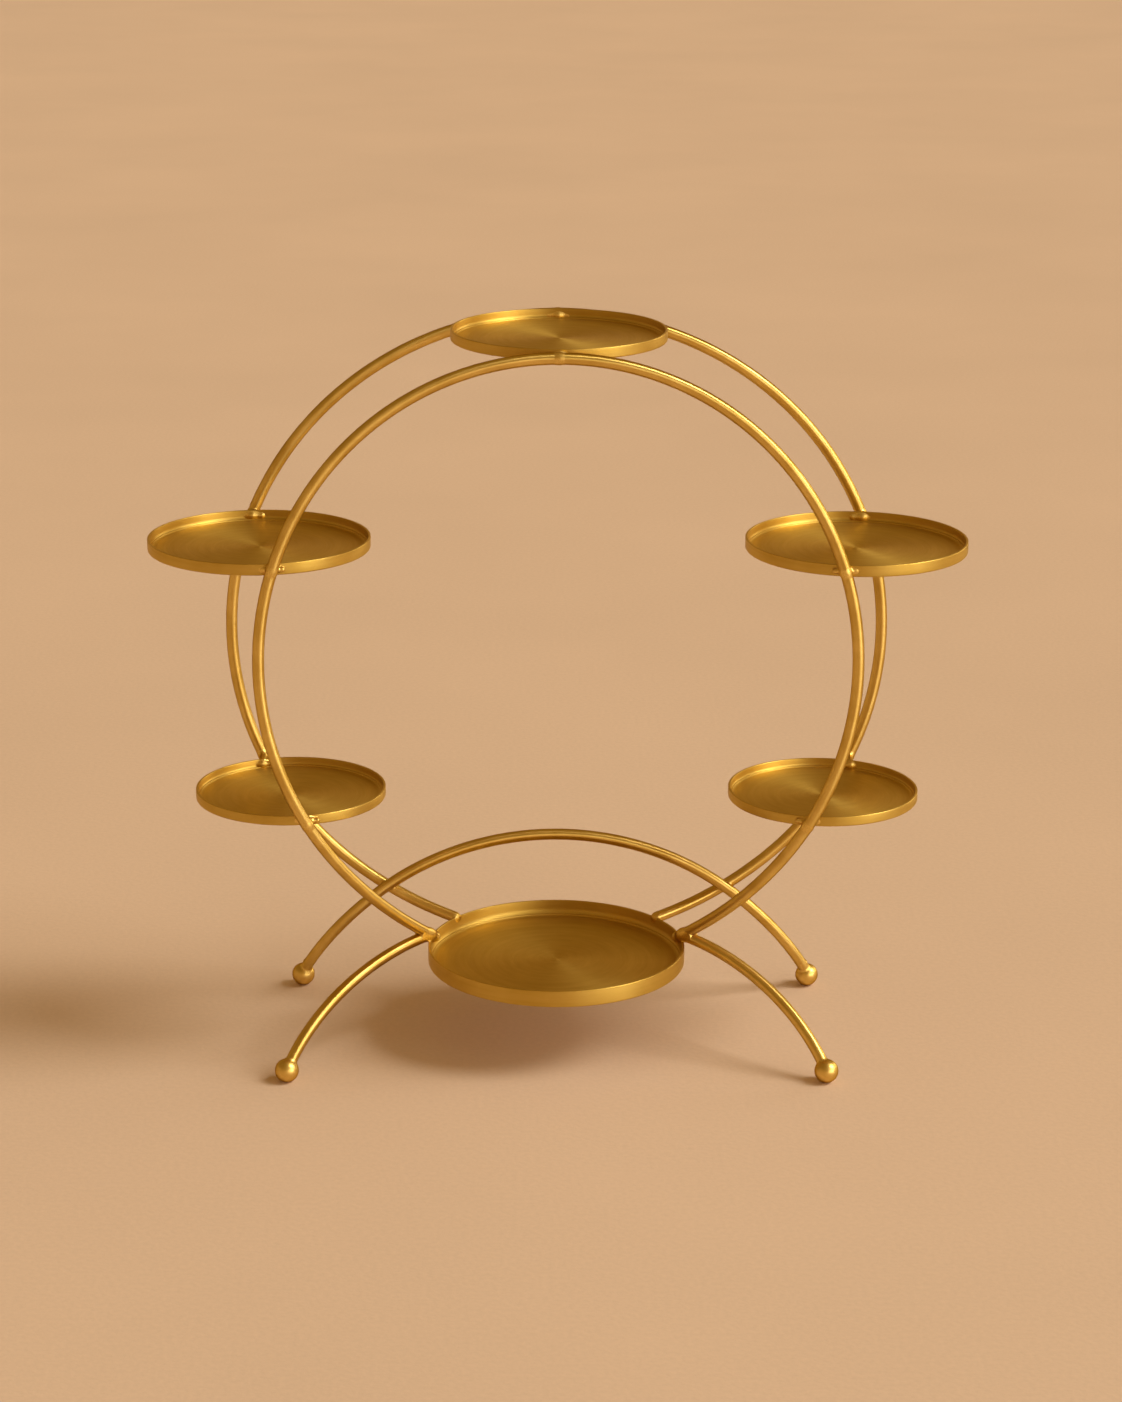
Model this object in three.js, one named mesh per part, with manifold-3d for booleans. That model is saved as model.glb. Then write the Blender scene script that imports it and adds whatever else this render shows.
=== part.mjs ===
// A tiered cake stand: two bent-rod hoops carry six round trays between them,
// and two front legs and a rear arch end in ball feet.
//
// Frame: millimetres, +Z up, X across the stand, Y from front to back.
// The origin is on the floor, midway between the four feet.

import * as THREE from 'three';
import { mergeVertices } from 'three/addons/utils/BufferGeometryUtils.js';
import Module from 'manifold-3d';

const wasm = await Module();
wasm.setup();

// ---------------------------------------------------------------- driving dimensions

const ROD_RADIUS = 4;
const GAP = 0.3; // clearance between pieces that meet, in place of the weld metal

// Both hoops stand in planes at this distance in front of and behind the middle.
const HOOP_PLANE = 80.3;

// The front hoop is a little taller than wide. Its ends curve back to the base tray.
const FRONT_HOOP = {
  plane: -HOOP_PLANE,
  halfWidth: 200,
  halfHeight: 209,
  centreZ: 294,
  bendStart: 100, // degrees from the top, where the end starts to leave the plane
  end: 155.5, // degrees from the top
  bendPower: 2.6,
  endShift: [3.5, 97, -38], // outwards, back and up, reached at the very end
};

// The back hoop is rounder and larger, and its ends curve forward to the base tray.
const BACK_HOOP = {
  plane: HOOP_PLANE,
  halfWidth: 231.3,
  halfHeight: 227.5,
  centreZ: 275.2,
  bendStart: 138,
  end: 162.5,
  bendPower: 2,
  endShift: [0, -26, 7],
};

// A tray is a shallow pan of sheet metal. x and rimZ place the middle of its rim.
const TRAY_WALL = 1.6;
const TRAY_FLOOR = 1;
const TOP_TRAY = { x: 0, rimZ: 507.7, radius: 73, height: 7.5 };
const UPPER_TRAY = { x: 204, rimZ: 363.5, radius: 76, height: 8 };
const LOWER_TRAY = { x: 185.5, rimZ: 184.2, radius: 66, height: 7 };
const BASE_TRAY = { x: 0, rimZ: 66.6, radius: 90.6, height: 12 };

// Ball feet, one at each corner of the footprint.
const FOOT_RADIUS = 8.25;
const FOOT_X = 185.5;
const FOOT_Y = 90.5;

// A front leg rises from its foot to the base tray's side, in an upright diagonal
// plane, as part of an ellipse whose top is at the tray.
const LEG_TOP = { x: 90, y: 10, z: 69.5 };
const LEG_RUN = 1.1; // horizontal half-axis, as a share of the leg's run in plan

// The rear arch is a circular arc in front of the back hoop, splayed to its feet.
const ARCH = { plane: 67.6, radius: 207, topZ: 125.3, splayStart: 38 };

// Short pins join the trays to the hoops, and weld beads join rods to each other.
const PIN_RADIUS = 2.7;
const WELD_RADIUS = 5.6;

// ---------------------------------------------------------------- fineness of the facets

const ROD_SIDES = 12;
const TRAY_SEGMENTS = 48;
const PIN_SIDES = 12;
const BALL_SEGMENTS = 16;
const WELD_SEGMENTS = 10;
const HOOP_STEPS = 60;
const ARCH_STEPS = 26;
const LEG_STEPS = 14;

const GOLD = { color: 0xa5752b, roughness: 0.38, metalness: 1 };
const TRAY_GOLD = { color: 0x9a6c25, roughness: 0.45, metalness: 1 };

// ---------------------------------------------------------------- solids

const radians = THREE.MathUtils.degToRad;

function solidFrom(geometry) {
  const bare = geometry.index ? geometry.toNonIndexed() : geometry.clone();
  bare.deleteAttribute('normal');
  bare.deleteAttribute('uv');
  const merged = mergeVertices(bare, 1e-4);
  return new wasm.Manifold(new wasm.Mesh({
    numProp: 3,
    vertProperties: new Float32Array(merged.attributes.position.array),
    triVerts: new Uint32Array(merged.index.array),
  }));
}

function geometryFrom(solid) {
  const mesh = solid.getMesh();
  const geometry = new THREE.BufferGeometry();
  geometry.setAttribute('position', new THREE.BufferAttribute(mesh.vertProperties, 3));
  geometry.setIndex(new THREE.BufferAttribute(mesh.triVerts, 1));
  geometry.computeVertexNormals();
  return geometry;
}

function largestPiece(solid) {
  const pieces = solid.decompose();
  return pieces.reduce((best, piece) => (piece.volume() > best.volume() ? piece : best));
}

function cut(solid, ...tools) {
  const left = tools.reduce((body, tool) => body.subtract(tool), solid);
  return largestPiece(left);
}

// A curve given by a function of 0 to 1.
class PathCurve extends THREE.Curve {
  constructor(pointAt) {
    super();
    this.pointAt = pointAt;
  }

  getPoint(t, target = new THREE.Vector3()) {
    return target.copy(this.pointAt(t));
  }
}

function rod(curve, steps, radius = ROD_RADIUS) {
  const section = new THREE.Shape();
  const corners = Array.from({ length: ROD_SIDES }, (_, i) => {
    const angle = ((i + 0.5) / ROD_SIDES) * 2 * Math.PI;
    return new THREE.Vector2(radius * Math.cos(angle), radius * Math.sin(angle));
  });
  section.setFromPoints(corners);
  const geometry = new THREE.ExtrudeGeometry(section, { steps, extrudePath: curve });
  return solidFrom(geometry);
}

function roundBar(start, end, radius) {
  const axis = new THREE.Vector3().subVectors(end, start);
  const geometry = new THREE.CylinderGeometry(radius, radius, axis.length(), PIN_SIDES);
  geometry.applyQuaternion(new THREE.Quaternion().setFromUnitVectors(
    new THREE.Vector3(0, 1, 0),
    axis.clone().normalize(),
  ));
  const middle = new THREE.Vector3().addVectors(start, end).multiplyScalar(0.5);
  geometry.translate(middle.x, middle.y, middle.z);
  return solidFrom(geometry);
}

function ball(centre, radius, segments = BALL_SEGMENTS) {
  const geometry = new THREE.SphereGeometry(radius, segments, segments / 2);
  geometry.rotateX(Math.PI / 2);
  geometry.translate(centre.x, centre.y, centre.z);
  return solidFrom(geometry);
}

// A lathe turns about the Z axis here: profile points are (radius, height).
function turned(profile, segments) {
  const geometry = new THREE.LatheGeometry(profile, segments);
  geometry.rotateX(Math.PI / 2);
  return geometry;
}

// The point midway between two curves where they pass closest to each other.
function halfwayBetween(curveA, curveB, steps = 300) {
  const pointsB = curveB.getPoints(steps);
  let nearest = Infinity;
  let middle = null;
  for (const pointA of curveA.getPoints(steps)) {
    for (const pointB of pointsB) {
      const distance = pointA.distanceTo(pointB);
      if (distance < nearest) {
        nearest = distance;
        middle = new THREE.Vector3().addVectors(pointA, pointB).multiplyScalar(0.5);
      }
    }
  }
  return middle;
}

// ---------------------------------------------------------------- hoops

// A point on the hoop at an angle from its top, in degrees: positive angles on +X.
function hoopPoint(hoop, angle) {
  const side = Math.sign(angle);
  const turn = Math.abs(angle);
  const bent = Math.max(0, (turn - hoop.bendStart) / (hoop.end - hoop.bendStart));
  const pull = bent ** hoop.bendPower;
  const [outwards, back, up] = hoop.endShift;
  return new THREE.Vector3(
    side * (hoop.halfWidth * Math.sin(radians(turn)) + outwards * pull),
    hoop.plane + back * pull,
    hoop.centreZ + hoop.halfHeight * Math.cos(radians(turn)) + up * pull,
  );
}

function hoopCurve(hoop) {
  return new PathCurve((t) => hoopPoint(hoop, (2 * t - 1) * hoop.end));
}

// The hoop's angle where it passes a height, found by halving.
function hoopAngleAt(hoop, z) {
  let low = 0;
  let high = hoop.end;
  for (let i = 0; i < 40; i += 1) {
    const middle = (low + high) / 2;
    if (hoopPoint(hoop, middle).z > z) {
      low = middle;
    } else {
      high = middle;
    }
  }
  return low;
}

// ---------------------------------------------------------------- trays

function trayProfile({ radius, height }) {
  const inner = radius - TRAY_WALL;
  const lip = TRAY_WALL / 2;
  const profile = new THREE.Path();
  profile.moveTo(0, 0);
  profile.lineTo(radius - 1.5, 0);
  profile.quadraticCurveTo(radius, 0, radius, 1.5);
  profile.lineTo(radius, height - lip);
  profile.absarc(radius - lip, height - lip, lip, 0, Math.PI, false);
  profile.lineTo(inner, TRAY_FLOOR + 1);
  profile.lineTo(inner - 1, TRAY_FLOOR);
  profile.lineTo(0, TRAY_FLOOR);
  return profile.getPoints(2);
}

function tray(place) {
  const geometry = turned(trayProfile(place), TRAY_SEGMENTS);
  geometry.translate(place.x, 0, place.rimZ - place.height);
  return solidFrom(geometry);
}

// The space a tray fills up to its rim, with the clearance around it.
function trayEnvelope({ x, rimZ, radius, height }) {
  const reach = radius + GAP;
  const deep = height + 2 * GAP;
  const geometry = turned([
    new THREE.Vector2(0, 0),
    new THREE.Vector2(reach, 0),
    new THREE.Vector2(reach, deep),
    new THREE.Vector2(0, deep),
  ], TRAY_SEGMENTS);
  geometry.translate(x, 0, rimZ + GAP - deep);
  return solidFrom(geometry);
}

// ---------------------------------------------------------------- legs

function footCentre(sideX, sideY) {
  return new THREE.Vector3(sideX * FOOT_X, sideY * FOOT_Y, FOOT_RADIUS);
}

function frontLegCurve(side) {
  const dropAt = (share) => Math.sqrt(1 - (share / LEG_RUN) ** 2);
  const rise = (LEG_TOP.z - FOOT_RADIUS) / (1 - dropAt(1));
  return new PathCurve((t) => new THREE.Vector3(
    side * THREE.MathUtils.lerp(FOOT_X, LEG_TOP.x, t),
    THREE.MathUtils.lerp(-FOOT_Y, LEG_TOP.y, t),
    LEG_TOP.z - rise * (1 - dropAt(1 - t)),
  ));
}

function archPoint(angle) {
  const footAngle = THREE.MathUtils.radToDeg(Math.asin(FOOT_X / ARCH.radius));
  const splayed = (Math.abs(angle) - ARCH.splayStart) / (footAngle - ARCH.splayStart);
  const splay = Math.max(0, splayed) ** 2;
  return new THREE.Vector3(
    ARCH.radius * Math.sin(radians(angle)),
    THREE.MathUtils.lerp(ARCH.plane, FOOT_Y, splay),
    ARCH.topZ - ARCH.radius * (1 - Math.cos(radians(angle))),
  );
}

function archCurve() {
  const footAngle = THREE.MathUtils.radToDeg(Math.asin(FOOT_X / ARCH.radius));
  return new PathCurve((t) => archPoint((2 * t - 1) * footAngle));
}

// ---------------------------------------------------------------- assembly

const stand = new THREE.Group();

function addPart(name, solid, finish) {
  const mesh = new THREE.Mesh(geometryFrom(solid), new THREE.MeshStandardMaterial(finish));
  mesh.name = name;
  stand.add(mesh);
}

const SIDES = { left: -1, right: 1 };
const ENDS = { front: -1, rear: 1 };
const HOOPS = { front: FRONT_HOOP, back: BACK_HOOP };

const trays = {
  top_tray: TOP_TRAY,
  upper_left_tray: { ...UPPER_TRAY, x: -UPPER_TRAY.x },
  upper_right_tray: UPPER_TRAY,
  lower_left_tray: { ...LOWER_TRAY, x: -LOWER_TRAY.x },
  lower_right_tray: LOWER_TRAY,
  base_tray: BASE_TRAY,
};

const baseEnvelope = trayEnvelope(BASE_TRAY);
const hoopSolids = {};
const hoopEnvelopes = {};
for (const [name, hoop] of Object.entries(HOOPS)) {
  hoopSolids[name] = cut(rod(hoopCurve(hoop), HOOP_STEPS), baseEnvelope);
  hoopEnvelopes[name] = rod(hoopCurve(hoop), HOOP_STEPS, ROD_RADIUS + GAP);
  addPart(`${name}_hoop`, hoopSolids[name], GOLD);
}

for (const [name, place] of Object.entries(trays)) {
  addPart(name, tray(place), TRAY_GOLD);
}

// Each tray but the base one is pinned to both hoops, straight across from the rod.
for (const [name, place] of Object.entries(trays)) {
  if (name !== 'base_tray') {
    for (const [end, hoop] of Object.entries(HOOPS)) {
      const pinZ = place.rimZ - place.height / 2;
      const angle = Math.sign(place.x) * hoopAngleAt(hoop, pinZ);
      const onRod = hoopPoint(hoop, angle);
      const inTray = new THREE.Vector3(onRod.x, 0, onRod.z);
      const bar = roundBar(onRod, inTray, PIN_RADIUS);
      const pin = cut(bar, trayEnvelope(place), hoopEnvelopes[end]);
      addPart(name.replace('tray', `tray_${end}_pin`), pin, GOLD);
    }
  }
}

for (const [endName, end] of Object.entries(ENDS)) {
  for (const [sideName, side] of Object.entries(SIDES)) {
    addPart(`${endName}_${sideName}_foot`, ball(footCentre(side, end), FOOT_RADIUS), GOLD);
  }
}

const legEnvelopes = {};
for (const [sideName, side] of Object.entries(SIDES)) {
  const curve = frontLegCurve(side);
  const footSpace = ball(footCentre(side, -1), FOOT_RADIUS + GAP);
  const leg = cut(rod(curve, LEG_STEPS), footSpace, hoopEnvelopes.front, baseEnvelope);
  legEnvelopes[sideName] = rod(curve, LEG_STEPS, ROD_RADIUS + GAP);
  addPart(`front_${sideName}_leg`, leg, GOLD);
}

const rearFootSpaces = Object.values(SIDES).map(
  (side) => ball(footCentre(side, 1), FOOT_RADIUS + GAP),
);
const archEnvelope = rod(archCurve(), ARCH_STEPS, ROD_RADIUS + GAP);
addPart('rear_arch', cut(rod(archCurve(), ARCH_STEPS), ...rearFootSpaces), GOLD);

// Weld beads fill the corners where the hoop ends meet the base tray's rim and where
// the rear arch crosses the back hoop.
for (const [sideName, side] of Object.entries(SIDES)) {
  for (const [hoopName, hoop] of Object.entries(HOOPS)) {
    const tip = hoopPoint(hoop, side * (hoop.end - 1));
    const around = [hoopEnvelopes[hoopName], legEnvelopes[sideName], baseEnvelope];
    const bead = cut(ball(tip, WELD_RADIUS, WELD_SEGMENTS), ...around);
    addPart(`base_${hoopName}_${sideName}_weld`, bead, GOLD);
  }
  const crossing = halfwayBetween(
    new PathCurve((t) => archPoint(side * 90 * t)),
    new PathCurve((t) => hoopPoint(BACK_HOOP, side * BACK_HOOP.end * t)),
  );
  const blob = ball(crossing, WELD_RADIUS, WELD_SEGMENTS);
  addPart(`rear_${sideName}_weld`, cut(blob, hoopEnvelopes.back, archEnvelope), GOLD);
}

export default stand;
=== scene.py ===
"""A tiered cake stand in satin gold metal: bent-rod hoops and legs, spun trays, ball feet and welds.

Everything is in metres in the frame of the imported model: X across the stand, Y to the back, Z up.
"""

import math

import bpy
import numpy as np
from mathutils import Matrix, Vector, noise


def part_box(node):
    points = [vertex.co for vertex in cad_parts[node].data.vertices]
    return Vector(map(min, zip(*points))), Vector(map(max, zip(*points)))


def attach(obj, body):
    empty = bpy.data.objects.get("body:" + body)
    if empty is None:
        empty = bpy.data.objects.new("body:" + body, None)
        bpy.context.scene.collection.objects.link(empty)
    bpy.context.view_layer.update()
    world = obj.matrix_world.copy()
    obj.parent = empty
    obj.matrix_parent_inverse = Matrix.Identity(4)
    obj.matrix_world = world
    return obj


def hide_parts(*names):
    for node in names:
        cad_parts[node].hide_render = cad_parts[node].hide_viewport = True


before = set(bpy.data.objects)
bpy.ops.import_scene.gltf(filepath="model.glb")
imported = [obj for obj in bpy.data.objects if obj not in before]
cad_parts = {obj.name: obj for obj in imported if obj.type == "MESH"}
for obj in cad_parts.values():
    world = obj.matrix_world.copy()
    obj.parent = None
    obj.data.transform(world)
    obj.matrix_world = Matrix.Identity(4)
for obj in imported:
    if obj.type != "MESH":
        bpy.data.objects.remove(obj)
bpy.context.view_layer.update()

node_box = {name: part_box(name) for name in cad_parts}

# ---------------------------------------------------------------- driving dimensions

BODY = "root"
ROD_RADIUS = 0.004
ROD_SIDES = 32
ROD_STEP = 0.0016  # spacing of the rings along a rod

# The hoops, legs and arch follow the same formulas as their solids.
FRONT_HOOP = {
    "plane": -0.0803,
    "half_width": 0.200,
    "half_height": 0.209,
    "centre_z": 0.294,
    "bend_start": 100,
    "end": 155.5,
    "bend_power": 2.6,
    "end_shift": (0.0035, 0.097, -0.038),
    "trim": 0,
}
BACK_HOOP = {
    "plane": 0.0803,
    "half_width": 0.2313,
    "half_height": 0.2275,
    "centre_z": 0.2752,
    "bend_start": 138,
    "end": 162.5,
    "bend_power": 2,
    "end_shift": (0, -0.026, 0.007),
    "trim": 0.9,  # degrees left off each end, so that its rounding meets the base tray's wall
}
LEG_TOP = Vector((0.090, 0.010, 0.0695))
LEG_RUN = 1.1
ARCH_PLANE = 0.0676
ARCH_RADIUS = 0.207
ARCH_TOP = 0.1253
ARCH_SPLAY_START = 38

TRAYS = (
    "top_tray",
    "upper_left_tray",
    "upper_right_tray",
    "lower_left_tray",
    "lower_right_tray",
    "base_tray",
)
TRAY_WALL = 0.0016
TRAY_FLOOR = 0.001
TRAY_LIP = 0.0005  # radius of the two edges of the rim, with a narrow flat between them
TRAY_STEP = 0.0007  # ledge where the wall meets the floor
TRAY_SEGMENTS = 256

# The radius of the ball that each kind of weld is cut to, and the reach of its fillets.
COLLAR_SIZE = 0.0065
COLLAR_FILLET = 0.0022
FRONT_WELD_SIZE = 0.020
BACK_WELD_SIZE = 0.009
LEG_FILLET = 0.005
RIM_FILLET = 0.002
CROSSING_SIZE = 0.012
CROSSING_FILLET = 0.0045
PIN_FILLET = 0.004
PIN_SEAM_FILLET = 0.003
PIN_WALL_FILLET = 0.0015
PIN_SEAM_HALF_WIDTH = 0.0070
PIN_SEAM_SHARE = 0.65  # the seam's thickness, as a share of the pin's

WELD_GRID = 0.0004
WELD_RIPPLE = 0.00004
WELD_INSET = 0.0002  # how far the hidden parts of a weld lie inside the rods and walls it joins

SIDES = {"left": -1, "right": 1}  # the sign of X on each side

# ---------------------------------------------------------------- mesh helpers


def add_object(name, vertices, faces, uvs=None, location=(0, 0, 0)):
    """A smooth-shaded mesh object. uvs holds one (u, v) pair for each corner, face by face."""
    mesh = bpy.data.meshes.new(name)
    mesh.from_pydata(np.array(vertices).tolist(), [], faces)
    mesh.polygons.foreach_set("use_smooth", [True] * len(mesh.polygons))
    if uvs is not None:
        layer = mesh.uv_layers.new(name="UVMap")
        layer.data.foreach_set("uv", np.array(uvs, float).ravel())
    mesh.update()
    obj = bpy.data.objects.new(name, mesh)
    obj.location = location
    bpy.context.scene.collection.objects.link(obj)
    return obj


def finish_piece(obj, material, slot, *nodes):
    obj.data.materials.clear()
    obj.data.materials.append(material)
    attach(obj, BODY)
    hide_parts(*nodes)
    return obj


def ring_stations(points):
    """For each point on a path: (point, tangent, normal, distance). The normals don't twist along it."""
    stations = []
    normal = None
    distance = 0.0
    for i, point in enumerate(points):
        ahead = points[min(i + 1, len(points) - 1)]
        behind = points[max(i - 1, 0)]
        tangent = (ahead - behind).normalized()
        if normal is None:
            normal = tangent.orthogonal().normalized()
        normal = (normal - tangent * normal.dot(tangent)).normalized()
        if i:
            distance += (point - points[i - 1]).length
        stations.append((point, tangent, normal, distance))
    return stations


def dome_stations(station, radius, forwards, rings=7):
    """Rings that round a rod's end off: (point, tangent, normal, distance, radius)."""
    point, tangent, normal, distance = station
    step = 1 if forwards else -1
    found = []
    for i in range(1, rings):
        turn = i / rings * math.pi / 2
        along = radius * math.sin(turn) * step
        middle = point + tangent * along
        found.append((middle, tangent, normal, distance + along, radius * math.cos(turn)))
    return found if forwards else found[::-1]


def sweep_rod(name, points, radius=ROD_RADIUS, sides=ROD_SIDES):
    """A round rod along a list of points, with rounded ends. U runs along it in metres, V round it."""
    path = ring_stations(points)
    body = [(*station, radius) for station in path]
    rings = dome_stations(path[0], radius, False) + body + dome_stations(path[-1], radius, True)
    vertices = []
    for point, tangent, normal, _, ring_radius in rings:
        side = tangent.cross(normal)
        for k in range(sides):
            turn = 2 * math.pi * k / sides
            vertices.append(point + (normal * math.cos(turn) + side * math.sin(turn)) * ring_radius)
    faces = []
    uvs = []
    for i in range(len(rings) - 1):
        near, far = rings[i][3], rings[i + 1][3]
        first = i * sides
        second = first + sides
        for k in range(sides):
            after = (k + 1) % sides
            faces.append((first + k, first + after, second + after, second + k))
            low, high = k / sides, (k + 1) / sides
            uvs += [(near, low), (near, high), (far, high), (far, low)]
    for ring, outwards in ((0, -1), (len(rings) - 1, 1)):
        tip = path[0] if outwards < 0 else path[-1]
        distance = rings[ring][3]
        vertices.append(tip[0] + tip[1] * radius * outwards)
        centre = len(vertices) - 1
        for k in range(sides):
            pair = (ring * sides + (k + 1) % sides, ring * sides + k)
            if outwards > 0:
                pair = pair[::-1]
            faces.append((*pair, centre))
            uvs += [(distance, k / sides)] * 3
    return add_object(name, vertices, faces, uvs)


def resample(point_at, step=ROD_STEP, fine=2000):
    """Points a fixed distance apart on a curve given by a function of 0 to 1."""
    dense = [point_at(i / fine) for i in range(fine + 1)]
    lengths = [0.0]
    for before, after in zip(dense, dense[1:]):
        lengths.append(lengths[-1] + (after - before).length)
    count = max(2, round(lengths[-1] / step))
    wanted = np.linspace(0, lengths[-1], count + 1)
    columns = [np.interp(wanted, lengths, [p[axis] for p in dense]) for axis in range(3)]
    return [Vector(row) for row in zip(*columns)]


def lathe(name, profile, segments, location):
    """Turns an outline of (radius, height) points about Z. Its first and last points are on the axis."""
    vertices = []
    rows = []
    for radius, height in profile:
        if radius < 1e-7:
            rows.append([len(vertices)] * segments)
            vertices.append((0, 0, height))
        else:
            rows.append(list(range(len(vertices), len(vertices) + segments)))
            for k in range(segments):
                turn = 2 * math.pi * k / segments
                vertices.append((radius * math.cos(turn), radius * math.sin(turn), height))
    faces = []
    for lower, upper in zip(rows, rows[1:]):
        for k in range(segments):
            after = (k + 1) % segments
            corners = [lower[k], lower[after], upper[after], upper[k]]
            faces.append(list(dict.fromkeys(corners)))
    return add_object(name, vertices, faces, location=location)


def arc(centre, radius, start, end, steps):
    """Points on an arc in the lathe outline's plane; angles in degrees from the outward direction."""
    turns = np.radians(np.linspace(start, end, steps + 1))
    return [(centre[0] + radius * math.cos(t), centre[1] + radius * math.sin(t)) for t in turns]


def surface_of(field, low, step):
    """Vertices and quads where a grid of signed distances changes sign, one smoothed point per cell."""
    cells = np.array(field.shape) - 1
    total = np.zeros((*cells, 3))
    count = np.zeros(cells)
    crossings = []
    for axis in range(3):
        near = np.moveaxis(field, axis, 0)[:-1]
        far = np.moveaxis(field, axis, 0)[1:]
        crossed = (near < 0) != (far < 0)
        share = np.where(crossed, near / np.where(crossed, near - far, 1.0), 0.0)
        place = np.stack(np.indices(near.shape), -1).astype(float)
        place[..., 0] += share
        place *= crossed[..., None]
        _, rows, columns = near.shape
        others = [n for n in range(3) if n != axis]
        for j in (0, 1):
            for k in (0, 1):
                window = (slice(None), slice(j, rows - 1 + j), slice(k, columns - 1 + k))
                moved = np.moveaxis(total, axis, 0)
                moved[..., [axis, *others]] += place[window]
                np.moveaxis(count, axis, 0)[...] += crossed[window]
        crossings.append((axis, crossed, near < 0))
    active = count > 0
    number = np.full(cells, -1)
    number[active] = np.arange(active.sum())
    vertices = total[active] / count[active][:, None] * step + np.array(low)
    quads = []
    for axis, crossed, inside_first in crossings:
        moved = np.moveaxis(number, axis, 0)
        i, j, k = np.nonzero(crossed[:, 1:-1, 1:-1])
        corners = (moved[i, j, k], moved[i, j + 1, k], moved[i, j + 1, k + 1], moved[i, j, k + 1])
        around = np.stack(corners, -1)
        flip = inside_first[:, 1:-1, 1:-1][i, j, k] == (axis == 1)
        around[flip] = around[flip][:, ::-1]
        quads += around.tolist()
    return vertices, quads


def rod_distance(spots, points, radius):
    """Signed distance to a rod along a list of points."""
    nearest = np.full(len(spots), np.inf)
    for before, after in zip(points, points[1:]):
        start = np.array(before)
        run = np.array(after) - start
        gap = spots - start
        share = np.clip(gap @ run / (run @ run), 0, 1)
        squared = np.einsum("ij,ij->i", gap, gap) - share * (2 * (gap @ run) - share * (run @ run))
        nearest = np.minimum(nearest, squared)
    return np.sqrt(np.maximum(nearest, 0)) - radius


def ball_distance(spots, centre, radius):
    """Signed distance to a ball."""
    return np.linalg.norm(spots - np.array(centre), axis=1) - radius


def wall_distance(spots, tray, inset):
    """Signed distance to a tray's upright wall, drawn in by a small inset."""
    low, high = node_box[tray]
    radius = (high.x - low.x) / 2
    from_axis = np.hypot(spots[:, 0] - (low.x + high.x) / 2, spots[:, 1] - (low.y + high.y) / 2)
    across = np.abs(from_axis - (radius - TRAY_WALL / 2)) - TRAY_WALL / 2 + inset
    upright = np.abs(spots[:, 2] - (low.z + high.z) / 2) - (high.z - low.z) / 2 + inset
    outside = np.hypot(np.maximum(across, 0), np.maximum(upright, 0))
    return outside + np.minimum(np.maximum(across, upright), 0)


def blend(first, second, reach):
    """The union of two distances, with the corner between them filled over a reach."""
    overlap = np.maximum(reach - np.abs(first - second), 0) / reach
    return np.minimum(first, second) - overlap * overlap * reach / 4


def weld_lump(name, centre, half_size, distance_at):
    """A smooth lump of weld metal: a distance function cut to a ball, with a faint ripple."""
    steps = int(half_size / WELD_GRID) + 2
    line = np.arange(-steps, steps + 1) * WELD_GRID
    grid = np.stack(np.meshgrid(line, line, line, indexing="ij"), -1) + np.array(centre)
    field = np.linalg.norm(grid - np.array(centre), axis=-1) - half_size
    near = field < 0
    field[near] = np.maximum(field[near], distance_at(grid[near]))
    vertices, quads = surface_of(field, grid[0, 0, 0], WELD_GRID)
    lump = add_object(name, vertices, quads)
    normals = np.empty(len(vertices) * 3, np.float32)
    lump.data.vertices.foreach_get("normal", normals)
    swell = [noise.noise(Vector(v) * 700) + 0.5 * noise.noise(Vector(v) * 1900) for v in vertices]
    rippled = vertices + normals.reshape(-1, 3) * np.array(swell)[:, None] * WELD_RIPPLE
    lump.data.vertices.foreach_set("co", rippled.ravel())
    lump.data.update()
    return lump


# ---------------------------------------------------------------- material helpers


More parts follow.
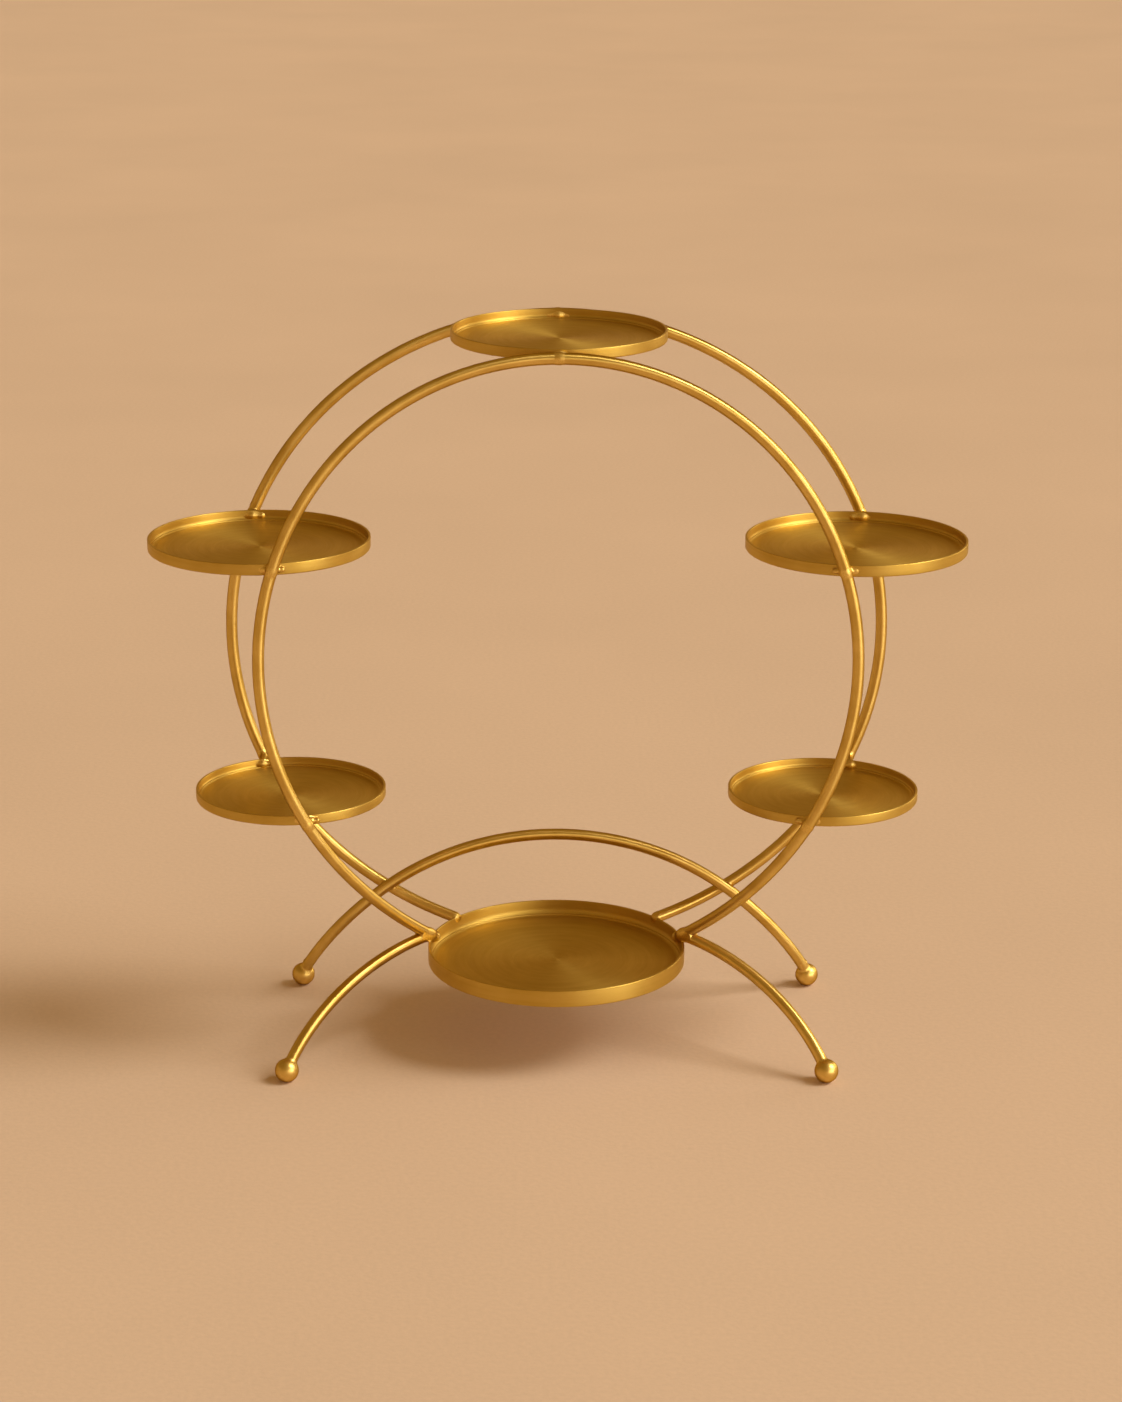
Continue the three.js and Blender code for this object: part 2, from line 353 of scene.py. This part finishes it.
class Shader:
    """Short calls for building one material's node tree."""

    def __init__(self, name):
        self.material = bpy.data.materials.new(name)
        self.material.use_nodes = True
        self.tree = self.material.node_tree
        self.surface = self.tree.nodes["Principled BSDF"]

    def node(self, kind, **settings):
        made = self.tree.nodes.new(kind)
        for key, value in settings.items():
            setattr(made, key, value)
        return made

    def link(self, source, target):
        self.tree.links.new(source, target)

    def feed(self, node, index, value):
        """Gives an input a number or links it to another node's output."""
        if isinstance(value, bpy.types.NodeSocket):
            self.link(value, node.inputs[index])
        else:
            node.inputs[index].default_value = value

    def math(self, operation, a, b=0.0):
        made = self.node("ShaderNodeMath", operation=operation)
        self.feed(made, 0, a)
        self.feed(made, 1, b)
        return made.outputs[0]

    def average(self, first, second):
        return self.math("ADD", self.math("MULTIPLY", first, 0.5), self.math("MULTIPLY", second, 0.5))

    def combine(self, x, y, z):
        made = self.node("ShaderNodeCombineXYZ")
        for index, value in enumerate((x, y, z)):
            self.feed(made, index, value)
        return made.outputs[0]

    def split(self, vector):
        made = self.node("ShaderNodeSeparateXYZ")
        self.link(vector, made.inputs[0])
        return made.outputs

    def place(self):
        return self.node("ShaderNodeTexCoord").outputs["Object"]

    def noise(self, vector, scale, detail=3.0, roughness=0.55):
        made = self.node("ShaderNodeTexNoise")
        self.link(vector, made.inputs["Vector"])
        made.inputs["Scale"].default_value = scale
        made.inputs["Detail"].default_value = detail
        made.inputs["Roughness"].default_value = roughness
        return made.outputs["Fac"]

    def remap(self, value, low, high, new_low, new_high):
        made = self.node("ShaderNodeMapRange")
        for index, number in enumerate((value, low, high, new_low, new_high)):
            self.feed(made, index, number)
        return made.outputs[0]

    def mix_colour(self, factor, first, second):
        made = self.node("ShaderNodeMix", data_type="RGBA")
        self.feed(made, 0, factor)
        for index, value in ((6, first), (7, second)):
            if isinstance(value, tuple):
                value = (*value, 1.0)
            self.feed(made, index, value)
        return made.outputs[2]

    def bump(self, height, strength, distance, normal=None):
        made = self.node("ShaderNodeBump")
        made.inputs["Strength"].default_value = strength
        made.inputs["Distance"].default_value = distance
        self.link(height, made.inputs["Height"])
        if normal is not None:
            self.link(normal, made.inputs["Normal"])
        return made.outputs["Normal"]

    def finish(self, colour, roughness, normal, edge):
        """Finishes a metal. The edge colour tints what it reflects at a glancing angle."""
        self.link(colour, self.surface.inputs["Base Color"])
        self.link(roughness, self.surface.inputs["Roughness"])
        self.link(normal, self.surface.inputs["Normal"])
        self.surface.inputs["Metallic"].default_value = 1.0
        # A dark edge colour is painted shade: it darkens the sides of round parts, where they face away
        # at a glancing angle.
        self.surface.inputs["Specular Tint"].default_value = (*edge, 1.0)
        return self.material


# Colours are linear light.
ROD_BRIGHT = (0.83, 0.585, 0.165)
ROD_DEEP = (0.68, 0.45, 0.10)
TRAY_BRIGHT = (0.67, 0.46, 0.105)
TRAY_DEEP = (0.57, 0.37, 0.065)
# Dark brown edge colour for the rods, balls and welds: painted shade along their sides.
PAINTED_SHADE_EDGE = (0.30, 0.17, 0.06)
PALE_EDGE = (0.85, 0.78, 0.62)


def rod_material():
    """Satin plated rod: faint drawing lines along its length, small dull and rubbed patches."""
    shader = Shader("satin_gold_rod")
    along, around, _ = shader.split(shader.node("ShaderNodeUVMap", uv_map="UVMap").outputs[0])
    turn = shader.math("MULTIPLY", around, 2 * math.pi)
    lines = shader.combine(
        shader.math("COSINE", turn),
        shader.math("SINE", turn),
        shader.math("MULTIPLY", along, 6.0),
    )
    drawing = shader.noise(lines, 18.0, 3.0)
    tangent = shader.node("ShaderNodeTangent", direction_type="UV_MAP", uv_map="UVMap").outputs[0]
    shader.link(tangent, shader.surface.inputs["Tangent"])
    shader.surface.inputs["Anisotropic"].default_value = 1.0
    place = shader.place()
    patches = shader.noise(place, 45.0, 4.0)
    grain = shader.noise(place, 1600.0, 2.0)
    colour = shader.mix_colour(shader.remap(patches, 0.35, 0.68, 0, 1), ROD_DEEP, ROD_BRIGHT)
    dull = shader.remap(patches, 0.3, 0.7, 0.32, 0.28)
    streaks = shader.remap(drawing, 0.3, 0.7, -0.015, 0.015)
    fine = shader.bump(grain, 0.012, 0.0001)
    normal = shader.bump(drawing, 0.007, 0.0002, fine)
    # Its dark edge colour paints shade along the rod's sides.
    return shader.finish(colour, shader.math("ADD", dull, streaks), normal, PAINTED_SHADE_EDGE)


def tray_material():
    """Spun and brushed sheet: fine grooves round the tray's axis, with broader sweeps of tone."""
    shader = Shader("spun_gold_tray")
    place = shader.place()
    x, y, z = shader.split(place)
    squares = shader.math("ADD", shader.math("MULTIPLY", x, x), shader.math("MULTIPLY", y, y))
    radius = shader.math("SQRT", squares)
    safe = shader.math("MAXIMUM", radius, 0.0005)
    unit_x = shader.math("DIVIDE", x, safe)
    unit_y = shader.math("DIVIDE", y, safe)
    across = shader.math("ADD", radius, z)
    fine_rings = shader.combine(unit_x, unit_y, shader.math("MULTIPLY", across, 900.0))
    grooves = shader.noise(fine_rings, 1.8, 3.0)
    broad_rings = shader.combine(unit_x, unit_y, shader.math("MULTIPLY", across, 190.0))
    sweeps = shader.noise(broad_rings, 1.2, 3.0)
    patches = shader.noise(place, 26.0, 3.0)
    tone = shader.average(sweeps, patches)
    colour = shader.mix_colour(shader.remap(tone, 0.36, 0.64, 0, 1), TRAY_DEEP, TRAY_BRIGHT)
    roughness = shader.remap(grooves, 0.3, 0.7, 0.38, 0.48)
    fine = shader.bump(grooves, 0.16, 0.00012)
    normal = shader.bump(sweeps, 0.08, 0.0003, fine)
    tangent = shader.node("ShaderNodeTangent", direction_type="RADIAL", axis="Z").outputs[0]
    shader.link(tangent, shader.surface.inputs["Tangent"])
    shader.surface.inputs["Anisotropic"].default_value = 0.65
    shader.surface.inputs["Anisotropic Rotation"].default_value = 0.25
    return shader.finish(colour, roughness, normal, PALE_EDGE)


def ball_material():
    """Satin plated ball with a faint orange peel."""
    shader = Shader("satin_gold_ball")
    place = shader.place()
    peel = shader.noise(place, 420.0, 3.0)
    patches = shader.noise(place, 90.0, 3.0)
    colour = shader.mix_colour(shader.remap(patches, 0.35, 0.65, 0, 1), ROD_DEEP, ROD_BRIGHT)
    roughness = shader.remap(patches, 0.3, 0.7, 0.40, 0.35)
    # Its dark edge colour paints shade round the ball's sides.
    return shader.finish(colour, roughness, shader.bump(peel, 0.05, 0.0003), PAINTED_SHADE_EDGE)


def weld_material():
    """Plated weld metal, a little duller in its hollows."""
    shader = Shader("plated_weld")
    ripples = shader.noise(shader.place(), 900.0, 3.0)
    colour = shader.mix_colour(shader.remap(ripples, 0.3, 0.6, 0, 1), ROD_DEEP, ROD_BRIGHT)
    roughness = shader.remap(ripples, 0.3, 0.7, 0.40, 0.35)
    # Its dark edge colour paints shade along the weld's sides.
    return shader.finish(colour, roughness, shader.bump(ripples, 0.08, 0.0003), PAINTED_SHADE_EDGE)


# ---------------------------------------------------------------- rods


def hoop_point(hoop, angle):
    """A point on a hoop's centreline at an angle in degrees from its top, positive on +X."""
    side = 1 if angle >= 0 else -1
    turn = abs(angle)
    bent = max(0.0, (turn - hoop["bend_start"]) / (hoop["end"] - hoop["bend_start"]))
    pull = bent ** hoop["bend_power"]
    outwards, back, up = hoop["end_shift"]
    return Vector((
        side * (hoop["half_width"] * math.sin(math.radians(turn)) + outwards * pull),
        hoop["plane"] + back * pull,
        hoop["centre_z"] + hoop["half_height"] * math.cos(math.radians(turn)) + up * pull,
    ))


def build_hoop(name, hoop, material):
    end = hoop["end"] - hoop["trim"]
    points = resample(lambda t: hoop_point(hoop, (2 * t - 1) * end))
    return finish_piece(sweep_rod(f"{name}_bent_rod", points), material, "rod_metal", name)


def foot_centre(name):
    low, high = node_box[name]
    return (low + high) / 2


def leg_point(side_name, t):
    """A point on a front leg's centreline, from its foot at t = 0 to the base tray at t = 1."""
    foot = foot_centre(f"front_{side_name}_foot")
    top = Vector((LEG_TOP.x * SIDES[side_name], LEG_TOP.y, LEG_TOP.z))

    def drop_at(share):
        return math.sqrt(1 - (share / LEG_RUN) ** 2)

    rise = (top.z - foot.z) / (1 - drop_at(1))
    plan = foot.lerp(top, t)
    return Vector((plan.x, plan.y, top.z - rise * (1 - drop_at(1 - t))))


def build_front_leg(side_name, material):
    leg = sweep_rod(f"front_{side_name}_leg_rod", resample(lambda t: leg_point(side_name, t)))
    return finish_piece(leg, material, "rod_metal", f"front_{side_name}_leg")


def arch_point(angle):
    """A point on the rear arch's centreline at an angle in degrees from its top, positive on +X."""
    foot = foot_centre("rear_right_foot")
    foot_angle = math.degrees(math.asin(foot.x / ARCH_RADIUS))
    splayed = max(0.0, (abs(angle) - ARCH_SPLAY_START) / (foot_angle - ARCH_SPLAY_START))
    return Vector((
        ARCH_RADIUS * math.sin(math.radians(angle)),
        ARCH_PLANE + (foot.y - ARCH_PLANE) * splayed ** 2,
        ARCH_TOP - ARCH_RADIUS * (1 - math.cos(math.radians(angle))),
    ))


def build_rear_arch(material):
    end = math.degrees(math.asin(foot_centre("rear_right_foot").x / ARCH_RADIUS))
    arch = sweep_rod("rear_arch_bent_rod", resample(lambda t: arch_point((2 * t - 1) * end)))
    return finish_piece(arch, material, "rod_metal", "rear_arch")


# ---------------------------------------------------------------- trays


def tray_outline(radius, height):
    """Half of a tray's section: flat base, rounded foot, narrow flat rim and a small ledge inside."""
    inner = radius - TRAY_WALL
    foot_round = 0.0012
    ledge = inner - TRAY_STEP
    outline = [(0.0, 0.0), (radius * 0.5, 0.0)]
    outline += arc((radius - foot_round, foot_round), foot_round, -90, 0, 6)
    outline += [(radius, height * 0.5)]
    outline += arc((radius - TRAY_LIP, height - TRAY_LIP), TRAY_LIP, 0, 90, 6)
    outline += arc((inner + TRAY_LIP, height - TRAY_LIP), TRAY_LIP, 90, 180, 6)
    outline += [(inner, height * 0.5), (inner, TRAY_FLOOR + TRAY_STEP * 1.2)]
    outline += arc((ledge, TRAY_FLOOR + TRAY_STEP * 0.5), TRAY_STEP * 0.5, 80, 190, 8)
    floor_edge = ledge - TRAY_STEP * 0.6
    floor_radii = np.linspace(floor_edge, 0.0006, 24)
    outline += [(float(r), TRAY_FLOOR) for r in floor_radii]
    outline += [(0.0, TRAY_FLOOR)]
    return outline


def build_tray(name, material):
    low, high = node_box[name]
    centre = ((low.x + high.x) / 2, (low.y + high.y) / 2, low.z)
    outline = tray_outline((high.x - low.x) / 2, high.z - low.z)
    pan = lathe(f"{name}_pan", outline, TRAY_SEGMENTS, centre)
    return finish_piece(pan, material, "tray_metal", name)


# ---------------------------------------------------------------- feet, pins and welds


def ball(name, centre, radius, rows=48):
    """A ball with rings of latitude, poles up and down."""
    outline = [
        (radius * math.cos(t), radius * math.sin(t))
        for t in np.linspace(-math.pi / 2, math.pi / 2, rows + 1)
    ]
    outline[0] = (0.0, -radius)
    outline[-1] = (0.0, radius)
    return lathe(name, outline, rows * 2, centre)


def build_foot(name, material):
    low, high = node_box[name]
    foot = ball(f"{name}_ball", (low + high) / 2, (high.z - low.z) / 2)
    return finish_piece(foot, material, "ball_metal", name)


def build_foot_collar(name, rod_points, material):
    """The thin ring of weld where a rod goes into its ball foot."""
    low, high = node_box[name]
    centre = (low + high) / 2
    radius = (high.z - low.z) / 2
    reach = math.sqrt(radius ** 2 - ROD_RADIUS ** 2)
    entry = min(rod_points, key=lambda p: abs((p - centre).length - reach))
    direction = (entry - centre).normalized()

    rod_end = entry + direction * 0.006

    def distance_at(spots):
        rod = rod_distance(spots, [centre, entry, rod_end], ROD_RADIUS - WELD_INSET)
        sphere = ball_distance(spots, centre, radius - WELD_INSET)
        return blend(rod, sphere, COLLAR_FILLET)

    collar = weld_lump(f"{name}_collar", entry, COLLAR_SIZE, distance_at)
    return finish_piece(collar, material, "rod_metal")


def hoop_stretch(hoop, angle, span, steps=8):
    """Points on a hoop's centreline for a span of degrees either side of an angle."""
    limit = hoop["end"] - hoop["trim"]
    angles = np.clip(np.linspace(angle - span, angle + span, steps + 1), -limit, limit)
    return [hoop_point(hoop, a) for a in dict.fromkeys(angles.tolist())]


def nearest_angle(point_at, low, high, target):
    """The angle at which a rod's centreline passes closest to a target point."""
    return min(np.linspace(low, high, 3000), key=lambda angle: (point_at(angle) - target).length)


def build_pin(name, hoop, material):
    """A pin between a tray's wall and a hoop, with its weld run out along the wall and the rod."""
    low, high = node_box[name]
    centre = (low + high) / 2
    tray = name[: name.index("_tray") + 5]
    angle = nearest_angle(lambda a: hoop_point(hoop, a), -hoop["end"], hoop["end"], centre)
    middle = hoop_point(hoop, angle)
    wall_spot = Vector((centre.x, low.y if hoop is BACK_HOOP else high.y, centre.z))
    side = Vector((PIN_SEAM_HALF_WIDTH, 0, 0))
    half_height = (high.z - low.z) / 2

    def distance_at(spots):
        rod = rod_distance(spots, hoop_stretch(hoop, angle, 4), ROD_RADIUS - WELD_INSET)
        pin = rod_distance(spots, [wall_spot, middle], half_height)
        seam = rod_distance(spots, [wall_spot - side, wall_spot + side], half_height * PIN_SEAM_SHARE)
        wall = wall_distance(spots, tray, WELD_INSET)
        metal = blend(blend(rod, pin, PIN_FILLET), seam, PIN_SEAM_FILLET)
        return blend(metal, wall, PIN_WALL_FILLET)

    reach = (middle - wall_spot).length / 2 + 0.008
    lump = weld_lump(f"{name}_weld", (middle + wall_spot) / 2, reach, distance_at)
    return finish_piece(lump, material, "rod_metal", name)


def build_base_weld(side_name, at_front, material):
    """The weld at a hoop's end: it fills in between the hoop, the leg and the base tray's rim."""
    hoop = FRONT_HOOP if at_front else BACK_HOOP
    name = f"base_{'front' if at_front else 'back'}_{side_name}_weld"
    side = SIDES[side_name]
    tip = hoop_point(hoop, side * (hoop["end"] - hoop["trim"]))
    rod_points = hoop_stretch(hoop, side * hoop["end"], 9)
    leg_points = [leg_point(side_name, 1 - step * 0.03) for step in range(0, 9)]

    def distance_at(spots):
        metal = rod_distance(spots, rod_points, ROD_RADIUS - WELD_INSET)
        if at_front:
            leg = rod_distance(spots, leg_points, ROD_RADIUS - WELD_INSET)
            metal = blend(metal, leg, LEG_FILLET)
        wall = wall_distance(spots, "base_tray", WELD_INSET)
        return blend(metal, wall, RIM_FILLET)

    lump = weld_lump(f"{name}_fillet", tip, FRONT_WELD_SIZE if at_front else BACK_WELD_SIZE, distance_at)
    return finish_piece(lump, material, "rod_metal", name)


def build_crossing_weld(side_name, material):
    """The weld where the back hoop crosses the rear arch."""
    name = f"rear_{side_name}_weld"
    low, high = node_box[name]
    centre = (low + high) / 2
    side = SIDES[side_name]
    hoop_angle = nearest_angle(lambda a: hoop_point(BACK_HOOP, side * a), 90, 160, centre)
    arch_angle = nearest_angle(lambda a: arch_point(side * a), 10, 60, centre)
    rod_points = hoop_stretch(BACK_HOOP, side * hoop_angle, 5)
    arch_points = [arch_point(side * (arch_angle + turn)) for turn in np.linspace(-5, 5, 9)]

    def distance_at(spots):
        rod = rod_distance(spots, rod_points, ROD_RADIUS - WELD_INSET)
        arch = rod_distance(spots, arch_points, ROD_RADIUS - WELD_INSET)
        return blend(rod, arch, CROSSING_FILLET)

    lump = weld_lump(f"{name}_fillet", centre, CROSSING_SIZE, distance_at)
    return finish_piece(lump, material, "rod_metal", name)


# ---------------------------------------------------------------- the object


def near_foot_of_leg(side_name):
    """Points on about the first quarter of a front leg's centreline, from its foot."""
    return [leg_point(side_name, step / 400) for step in range(100)]


def near_foot_of_arch(sign):
    """Points on the last ten degrees of the rear arch's centreline, on one side."""
    return [arch_point(sign * (64 - step * 0.05)) for step in range(200)]


gold_rod = rod_material()
gold_tray = tray_material()
gold_ball = ball_material()
gold_weld = weld_material()

build_hoop("front_hoop", FRONT_HOOP, gold_rod)
build_hoop("back_hoop", BACK_HOOP, gold_rod)
build_rear_arch(gold_rod)
for tray_name in TRAYS:
    build_tray(tray_name, gold_tray)
for node_name in sorted(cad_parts):
    if node_name.endswith("_foot"):
        build_foot(node_name, gold_ball)
    if node_name.endswith("_pin"):
        build_pin(node_name, BACK_HOOP if "_back_" in node_name else FRONT_HOOP, gold_weld)
for side, sign in SIDES.items():
    build_front_leg(side, gold_rod)
    build_base_weld(side, True, gold_weld)
    build_base_weld(side, False, gold_weld)
    build_crossing_weld(side, gold_weld)
    build_foot_collar(f"front_{side}_foot", near_foot_of_leg(side), gold_weld)
    build_foot_collar(f"rear_{side}_foot", near_foot_of_arch(sign), gold_weld)

# ---------------------------------------------------------------- stage, light and camera

SAND = (0.70, 0.52, 0.36)
HORIZON = (0.64, 0.40, 0.19)
UPPER_AIR = (0.32, 0.19, 0.05)
AIR_LEFT = 0.88  # strength of the air towards -X
AIR_RIGHT = 1.12  # and towards +X
LAMP_COLOUR = (1.0, 0.965, 0.93)


def sand_material():
    """A plain, very finely grained pale surface."""
    shader = Shader("plain_sand")
    place = shader.place()
    cloud = shader.noise(place, 2.0, 3.0)
    grain = shader.noise(place, 260.0, 3.0)
    tone = shader.average(cloud, grain)
    lighter = tuple(c * 1.04 for c in SAND)
    darker = tuple(c * 0.96 for c in SAND)
    mixed = shader.mix_colour(shader.remap(tone, 0.35, 0.65, 0, 1), darker, lighter)
    shader.link(mixed, shader.surface.inputs["Base Color"])
    shader.link(shader.bump(grain, 0.15, 0.001), shader.surface.inputs["Normal"])
    shader.surface.inputs["Roughness"].default_value = 0.9
    shader.surface.inputs["Specular IOR Level"].default_value = 0.2
    return shader.material


def build_floor(radius=14.0, sides=96):
    rim = [
        (radius * math.cos(2 * math.pi * k / sides), radius * math.sin(2 * math.pi * k / sides), 0)
        for k in range(sides)
    ]
    floor = add_object("floor", rim, [list(range(sides))])
    floor.data.materials.append(sand_material())


def sun(name, bearing, elevation, power):
    """A broad distant lamp. Its bearing is in degrees from +X towards +Y, its elevation from level."""
    data = bpy.data.lights.new(name, "SUN")
    data.energy = power
    data.color = LAMP_COLOUR
    data.angle = 0.45
    lamp = bpy.data.objects.new(name, data)
    level = math.cos(math.radians(elevation))
    towards_lamp = Vector((
        level * math.cos(math.radians(bearing)),
        level * math.sin(math.radians(bearing)),
        math.sin(math.radians(elevation)),
    ))
    lamp.rotation_euler = towards_lamp.to_track_quat("Z", "Y").to_euler()
    bpy.context.scene.collection.objects.link(lamp)


def softbox(name, place, power, width, height):
    """A rectangular lamp at a place, aimed at the middle of the stand and hidden from the camera."""
    data = bpy.data.lights.new(name, "AREA")
    data.energy = power
    data.color = LAMP_COLOUR
    data.shape = "RECTANGLE"
    data.size = width
    data.size_y = height
    lamp = bpy.data.objects.new(name, data)
    lamp.location = place
    lamp.rotation_euler = (Vector((0, 0, 0.2)) - Vector(place)).to_track_quat("-Z", "Y").to_euler()
    lamp.visible_camera = False
    bpy.context.scene.collection.objects.link(lamp)


def build_world():
    """Soft warm light: floor-coloured at the horizon, dimmer overhead, and dimmer on the left."""
    world = bpy.data.worlds.new("studio")
    bpy.context.scene.world = world
    world.use_nodes = True
    nodes, links = world.node_tree.nodes, world.node_tree.links
    direction = nodes.new("ShaderNodeTexCoord")
    split = nodes.new("ShaderNodeSeparateXYZ")
    ramp = nodes.new("ShaderNodeValToRGB")
    links.new(direction.outputs["Generated"], split.inputs[0])
    links.new(split.outputs["Z"], ramp.inputs[0])
    links.new(ramp.outputs["Color"], nodes["Background"].inputs["Color"])
    sideways = nodes.new("ShaderNodeMapRange")
    for index, value in enumerate((0.0, -0.8, 0.8, AIR_LEFT, AIR_RIGHT)):
        sideways.inputs[index].default_value = value
    links.new(split.outputs["X"], sideways.inputs[0])
    links.new(sideways.outputs[0], nodes["Background"].inputs["Strength"])
    ramp.color_ramp.interpolation = "EASE"
    ramp.color_ramp.elements[0].position = 0.12
    ramp.color_ramp.elements[0].color = (*HORIZON, 1.0)
    ramp.color_ramp.elements[1].position = 0.50
    ramp.color_ramp.elements[1].color = (*UPPER_AIR, 1.0)


def build_camera(place, pitch, yaw, roll, lens):
    data = bpy.data.cameras.new("camera")
    data.lens = lens
    data.sensor_width = 36.0
    camera = bpy.data.objects.new("camera", data)
    turn = Matrix.Rotation(math.radians(yaw), 4, "Z")
    tilt = Matrix.Rotation(math.radians(90 - pitch), 4, "X")
    lean = Matrix.Rotation(math.radians(roll), 4, "Z")
    camera.matrix_world = Matrix.Translation(place) @ turn @ tilt @ lean
    bpy.context.scene.collection.objects.link(camera)
    bpy.context.scene.camera = camera


build_floor()
build_world()
sun("right_high", -10, 47, 1.72)
sun("right", 0, 30, 0.45)
sun("front_right_low", -30, 12, 0.50)
sun("front_low", -60, 12, 0.25)
sun("back_right_low", 40, 14, 0.40)
softbox("tall_right", (1.8, -1.8, 1.1), 6, 0.6, 2.1)
bpy.context.scene.view_settings.view_transform = "Standard"
build_camera((-0.0187, -2.2919, 0.9453), pitch=16.96, yaw=-0.53, roll=0.276, lens=88.84)
